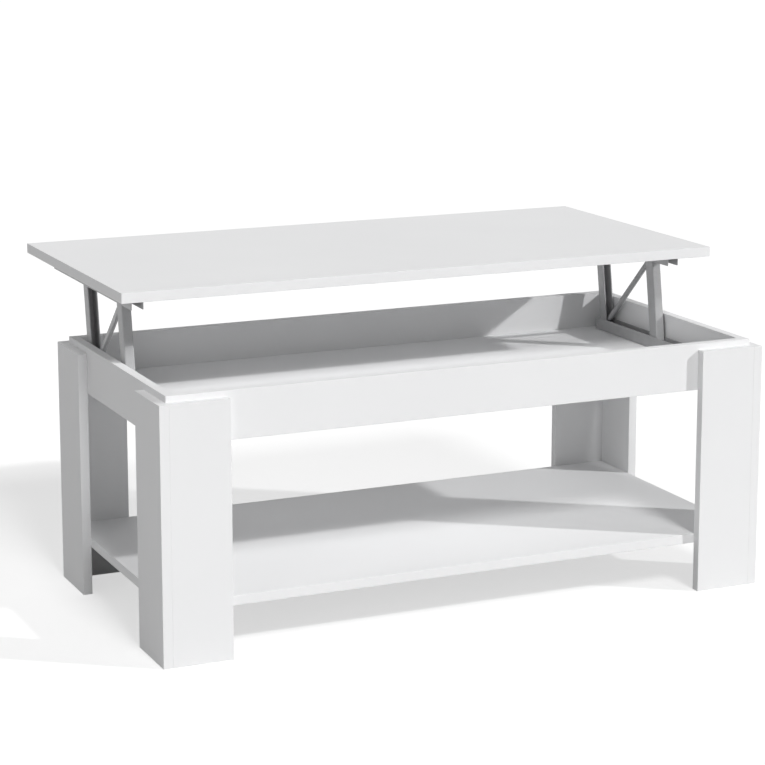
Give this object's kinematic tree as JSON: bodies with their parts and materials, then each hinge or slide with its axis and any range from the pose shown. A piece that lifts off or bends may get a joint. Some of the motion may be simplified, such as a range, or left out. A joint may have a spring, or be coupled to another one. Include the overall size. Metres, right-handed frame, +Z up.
{
  "type": "lift top coffee table",
  "caption": "Coffee table with L-shaped corner legs, a lower shelf and an open tray under a flat top that lifts up and forward on sprung parallelogram arms.",
  "frame": {"origin": "on the floor, under the middle of the table with its top raised", "axes": "+Z up, +X along the table, +Y the way the top travels when it rises"},
  "size_m": [1.02, 0.663, 0.5324],
  "materials": {
    "white_board": "matt white melamine on particle board",
    "dowel_wood": "plain beech",
    "coated_steel": "satin grey coat on folded sheet and flush pivots",
    "screw_steel": "zinc plated",
    "spring_steel": "oiled spring wire",
    "bush_plastic": "moulded"
  },
  "bodies": {
    "base": {"tray_front_panel": "white_board", "tray_rear_panel": "white_board", "tray_left_panel": "white_board", "tray_right_panel": "white_board", "tray_floor": "white_board", "lower_shelf": "white_board", "front_left_leg_side": "white_board", "front_left_leg_face": "white_board", "front_right_leg_side": "white_board", "front_right_leg_face": "white_board", "rear_left_leg_side": "white_board", "rear_left_leg_face": "white_board", "rear_right_leg_side": "white_board", "rear_right_leg_face": "white_board", "tray_dowels": "dowel_wood", "shelf_dowels": "dowel_wood", "left_base_rail": "coated_steel", "left_base_pins": "coated_steel", "left_base_rail_screws": "screw_steel", "right_base_rail": "coated_steel", "right_base_pins": "coated_steel", "right_base_rail_screws": "screw_steel"},
    "right_front_arm": {"right_front_arm": "coated_steel"},
    "right_rear_arm": {"right_rear_arm": "coated_steel"},
    "left_front_arm": {"left_front_arm": "coated_steel"},
    "left_rear_arm": {"left_rear_arm": "coated_steel"},
    "top": {"table_top": "white_board", "left_top_rail": "coated_steel", "left_top_pins": "coated_steel", "left_top_rail_screws": "screw_steel", "left_upper_spring_bush": "bush_plastic", "right_top_rail": "coated_steel", "right_top_pins": "coated_steel", "right_top_rail_screws": "screw_steel", "right_upper_spring_bush": "bush_plastic"},
    "right_spring_anchor": {"right_lower_spring_bush": "bush_plastic"},
    "right_spring": {"right_lift_spring": "spring_steel"},
    "left_spring_anchor": {"left_lower_spring_bush": "bush_plastic"},
    "left_spring": {"left_lift_spring": "spring_steel"}
  },
  "joints": [
    {"name": "lift", "type": "hinge", "parent": "base", "child": "right_front_arm", "pos_m": [0.469, -0.07554, 0.36], "axis": [1, 0, 0], "range_deg": [0, 86.02], "stiffness_Nm_per_rad": 3},
    {"name": "top_level", "type": "hinge", "parent": "right_front_arm", "child": "top", "pos_m": [0.469, -0.05298, 0.50243], "axis": [1, 0, 0], "range_deg": [-86.03, 0.01]},
    {"name": "left_front_swing", "type": "hinge", "parent": "base", "child": "left_front_arm", "pos_m": [-0.469, -0.07554, 0.36], "axis": [1, 0, 0], "range_deg": [-0.01, 86.03]},
    {"name": "right_rear_swing", "type": "hinge", "parent": "base", "child": "right_rear_arm", "pos_m": [0.469, 0.09646, 0.36], "axis": [1, 0, 0], "range_deg": [-0.01, 86.03]},
    {"name": "left_rear_swing", "type": "hinge", "parent": "base", "child": "left_rear_arm", "pos_m": [-0.469, 0.09646, 0.36], "axis": [1, 0, 0], "range_deg": [-0.01, 86.03]},
    {"name": "right_spring_turn", "type": "hinge", "parent": "base", "child": "right_spring_anchor", "pos_m": [0.469, 0.09646, 0.36], "axis": [1, 0, 0], "range_deg": [-0.01, 37.71]},
    {"name": "right_spring_stretch", "type": "slide", "parent": "right_spring_anchor", "child": "right_spring", "axis": [0, -0.7239, 0.6899], "range_m": [-0.0001, 0.10785], "deforming": ["right_lift_spring"]},
    {"name": "left_spring_turn", "type": "hinge", "parent": "base", "child": "left_spring_anchor", "pos_m": [-0.469, 0.09646, 0.36], "axis": [1, 0, 0], "range_deg": [-0.01, 37.71]},
    {"name": "left_spring_stretch", "type": "slide", "parent": "left_spring_anchor", "child": "left_spring", "axis": [0, -0.7239, 0.6899], "range_m": [-0.0001, 0.10785], "deforming": ["left_lift_spring"]}
  ],
  "couplings": [
    {"joint": "top_level", "follows": "lift", "ratio": -1},
    {"joint": "left_front_swing", "follows": "lift", "ratio": 1},
    {"joint": "right_rear_swing", "follows": "lift", "ratio": 1},
    {"joint": "left_rear_swing", "follows": "lift", "ratio": 1},
    {"joint": "right_spring_turn", "follows": "lift", "ratio": 0.43834},
    {"joint": "right_spring_stretch", "follows": "lift", "m_per_rad": 0.071772},
    {"joint": "left_spring_turn", "follows": "lift", "ratio": 0.43834},
    {"joint": "left_spring_stretch", "follows": "lift", "m_per_rad": 0.071772}
  ]
}
